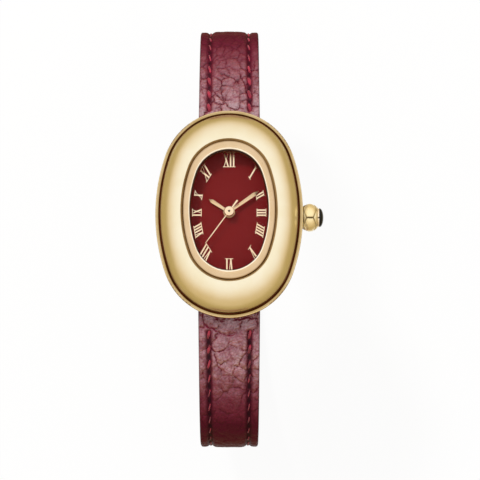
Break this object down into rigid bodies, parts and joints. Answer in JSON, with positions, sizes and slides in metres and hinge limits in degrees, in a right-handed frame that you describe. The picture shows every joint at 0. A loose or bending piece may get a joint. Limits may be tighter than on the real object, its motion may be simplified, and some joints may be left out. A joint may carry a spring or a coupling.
{
  "type": "oval wristwatch",
  "caption": "Small oval watch with a domed gilt bezel, deep red Roman dial, three hands, ball crown and a padded red leather strap closed on its buckle.",
  "frame": {"origin": "middle of the case back's outer face, below the axis of the hands", "axes": "+Z out of the dial, +Y to 12 o'clock, +X to the crown; the closed strap hangs below the case"},
  "size_m": [0.0272, 0.0696, 0.049],
  "materials": {
    "case_gold": "polished",
    "back_steel": "brushed",
    "dial_red": "satin lacquer",
    "numeral_gold": "polished",
    "hand_gold": "polished",
    "crystal_glass": "clear",
    "stone_black": "polished",
    "seal_rubber": "matte",
    "strap_leather": "semi-gloss, pebbled grain",
    "lining_leather": "matte",
    "thread": "waxed",
    "buckle_gold": "polished",
    "bar_steel": "satin",
    "movement_steel": "satin",
    "movement_brass": "satin",
    "coil_copper": "enamelled wire",
    "battery_steel": "polished",
    "board_green": "matte",
    "chip_black": "moulded",
    "holder_white": "matte"
  },
  "bodies": {
    "watch": {"case_middle": "case_gold", "bezel_dome": "case_gold", "inner_ring": "case_gold", "crystal": "crystal_glass", "crystal_gasket": "seal_rubber", "case_back": "back_steel", "case_back_gasket": "seal_rubber", "crown_tube": "movement_steel", "movement_holder": "holder_white", "main_plate": "movement_brass", "train_bridge": "movement_brass", "movement_screws": "movement_steel", "stator": "movement_steel", "coil": "coil_copper", "circuit_board": "board_green", "quartz_can": "movement_steel", "chip": "chip_black", "battery": "battery_steel", "battery_clamp": "movement_steel", "dial_plate": "dial_red", "hour_numerals": "numeral_gold", "strap_short_top": "strap_leather", "strap_short_lining": "lining_leather", "strap_long_top": "strap_leather", "strap_long_lining": "lining_leather", "fixed_keeper": "strap_leather", "strap_short_seams": "thread", "strap_long_seams": "thread", "bar_tubes": "bar_steel", "bar_springs": "bar_steel"},
    "seconds": {"fourth_wheel": "movement_brass", "seconds_hand": "hand_gold"},
    "rotor": {"rotor": "movement_steel"},
    "fifth_wheel": {"fifth_wheel": "movement_brass"},
    "third_wheel": {"third_wheel": "movement_brass"},
    "minutes": {"centre_wheel": "movement_brass", "cannon_pinion": "movement_brass", "minute_hand": "hand_gold"},
    "minute_wheel": {"minute_wheel": "movement_brass"},
    "hours": {"hour_wheel": "movement_brass", "hour_hand": "hand_gold"},
    "setting_wheel": {"setting_wheel": "movement_brass"},
    "crown_pull": {"crown_gasket": "seal_rubber"},
    "crown_turn": {"crown": "case_gold", "crown_collar": "case_gold", "crown_cabochon": "stone_black", "winding_stem": "movement_steel", "setting_pinion": "movement_steel"},
    "setting_lever": {"setting_lever": "movement_steel"},
    "stop_lever": {"stop_lever": "movement_steel"},
    "buckle": {"buckle_frame": "buckle_gold"},
    "tongue": {"buckle_tongue": "buckle_gold"},
    "floating_keeper": {"floating_keeper": "strap_leather"},
    "bar_12_pin_right": {"bar_12_pin_right": "bar_steel"},
    "bar_12_pin_left": {"bar_12_pin_left": "bar_steel"},
    "bar_6_pin_right": {"bar_6_pin_right": "bar_steel"},
    "bar_6_pin_left": {"bar_6_pin_left": "bar_steel"},
    "buckle_bar_pin_right": {"buckle_bar_pin_right": "bar_steel"},
    "buckle_bar_pin_left": {"buckle_bar_pin_left": "bar_steel"}
  },
  "joints": [
    {"name": "seconds_turn", "type": "hinge", "parent": "watch", "child": "seconds", "pos_m": [0, 0, 0.004], "axis": [0, 0, -1], "continuous": true},
    {"name": "rotor_turn", "type": "hinge", "parent": "watch", "child": "rotor", "pos_m": [-0.00208, -0.00262, 0.004], "axis": [0, 0, -1], "continuous": true},
    {"name": "fifth_turn", "type": "hinge", "parent": "watch", "child": "fifth_wheel", "pos_m": [-0.00078, -0.00168, 0.004], "axis": [0, 0, -1], "continuous": true},
    {"name": "third_turn", "type": "hinge", "parent": "watch", "child": "third_wheel", "pos_m": [-0.00179, 0.00048, 0.004], "axis": [0, 0, -1], "continuous": true},
    {"name": "minutes_turn", "type": "hinge", "parent": "watch", "child": "minutes", "pos_m": [0, 0, 0.004], "axis": [0, 0, -1], "continuous": true},
    {"name": "minute_wheel_turn", "type": "hinge", "parent": "watch", "child": "minute_wheel", "pos_m": [0.00215, 0, 0.004], "axis": [0, 0, -1], "continuous": true},
    {"name": "hours_turn", "type": "hinge", "parent": "watch", "child": "hours", "pos_m": [0, 0, 0.004], "axis": [0, 0, -1], "continuous": true},
    {"name": "setting_wheel_turn", "type": "hinge", "parent": "watch", "child": "setting_wheel", "pos_m": [0.00475, 0, 0.004], "axis": [0, 0, -1], "continuous": true},
    {"name": "crown_pull", "type": "slide", "parent": "watch", "child": "crown_pull", "axis": [1, 0, 0], "range_m": [0, 0.001]},
    {"name": "crown_turn", "type": "hinge", "parent": "crown_pull", "child": "crown_turn", "pos_m": [0.01302, -0.0003, 0.00255], "axis": [1, 0, 0], "continuous": true},
    {"name": "setting_lever_turn", "type": "hinge", "parent": "watch", "child": "setting_lever", "pos_m": [0.00625, -0.0023, 0.002], "axis": [0, 0, 1], "range_deg": [-28.2, 0]},
    {"name": "stop_lever_turn", "type": "hinge", "parent": "watch", "child": "stop_lever", "pos_m": [0.0029, 0.0006, 0.0022], "axis": [0, 0, 1], "range_deg": [-12.2, 0]},
    {"name": "buckle_swing", "type": "hinge", "parent": "watch", "child": "buckle", "pos_m": [0, 0.00072, -0.03721], "axis": [1, 0, 0], "range_deg": [0, 6]},
    {"name": "tongue_swing", "type": "hinge", "parent": "buckle", "child": "tongue", "pos_m": [0, 0.00072, -0.03721], "axis": [1, 0, 0], "range_deg": [0, 8]},
    {"name": "keeper_slide", "type": "slide", "parent": "watch", "child": "floating_keeper", "axis": [0, 0.9507, 0.3101], "range_m": [-0.0015, 0.0015]},
    {"name": "bar_12_pin_right_slide", "type": "slide", "parent": "watch", "child": "bar_12_pin_right", "axis": [-1, 0, 0], "range_m": [0, 0.0007], "stiffness_N_per_m": 200, "springref_m": -0.0005, "deforming": ["bar_springs"]},
    {"name": "bar_12_pin_left_slide", "type": "slide", "parent": "watch", "child": "bar_12_pin_left", "axis": [1, 0, 0], "range_m": [0, 0.0007], "stiffness_N_per_m": 200, "springref_m": -0.0005, "deforming": ["bar_springs"]},
    {"name": "bar_6_pin_right_slide", "type": "slide", "parent": "watch", "child": "bar_6_pin_right", "axis": [-1, 0, 0], "range_m": [0, 0.0007], "stiffness_N_per_m": 200, "springref_m": -0.0005, "deforming": ["bar_springs"]},
    {"name": "bar_6_pin_left_slide", "type": "slide", "parent": "watch", "child": "bar_6_pin_left", "axis": [1, 0, 0], "range_m": [0, 0.0007], "stiffness_N_per_m": 200, "springref_m": -0.0005, "deforming": ["bar_springs"]},
    {"name": "buckle_bar_pin_right_slide", "type": "slide", "parent": "watch", "child": "buckle_bar_pin_right", "axis": [-1, 0, 0], "range_m": [0, 0.0007], "stiffness_N_per_m": 200, "springref_m": -0.0005, "deforming": ["bar_springs"]},
    {"name": "buckle_bar_pin_left_slide", "type": "slide", "parent": "watch", "child": "buckle_bar_pin_left", "axis": [1, 0, 0], "range_m": [0, 0.0007], "stiffness_N_per_m": 200, "springref_m": -0.0005, "deforming": ["bar_springs"]}
  ],
  "couplings": [
    {"joint": "rotor_turn", "follows": "seconds_turn", "ratio": 30},
    {"joint": "fifth_turn", "follows": "seconds_turn", "ratio": -6},
    {"joint": "third_turn", "follows": "seconds_turn", "ratio": -0.13333},
    {"joint": "minutes_turn", "follows": "seconds_turn", "ratio": 0.016667},
    {"joint": "minute_wheel_turn", "follows": "seconds_turn", "ratio": -0.0055556},
    {"joint": "hours_turn", "follows": "seconds_turn", "ratio": 0.0013889},
    {"joint": "setting_wheel_turn", "follows": "seconds_turn", "ratio": 0.0088889},
    {"joint": "setting_lever_turn", "follows": "crown_pull", "rad_per_m": -489.96},
    {"joint": "stop_lever_turn", "follows": "crown_pull", "rad_per_m": -210}
  ]
}
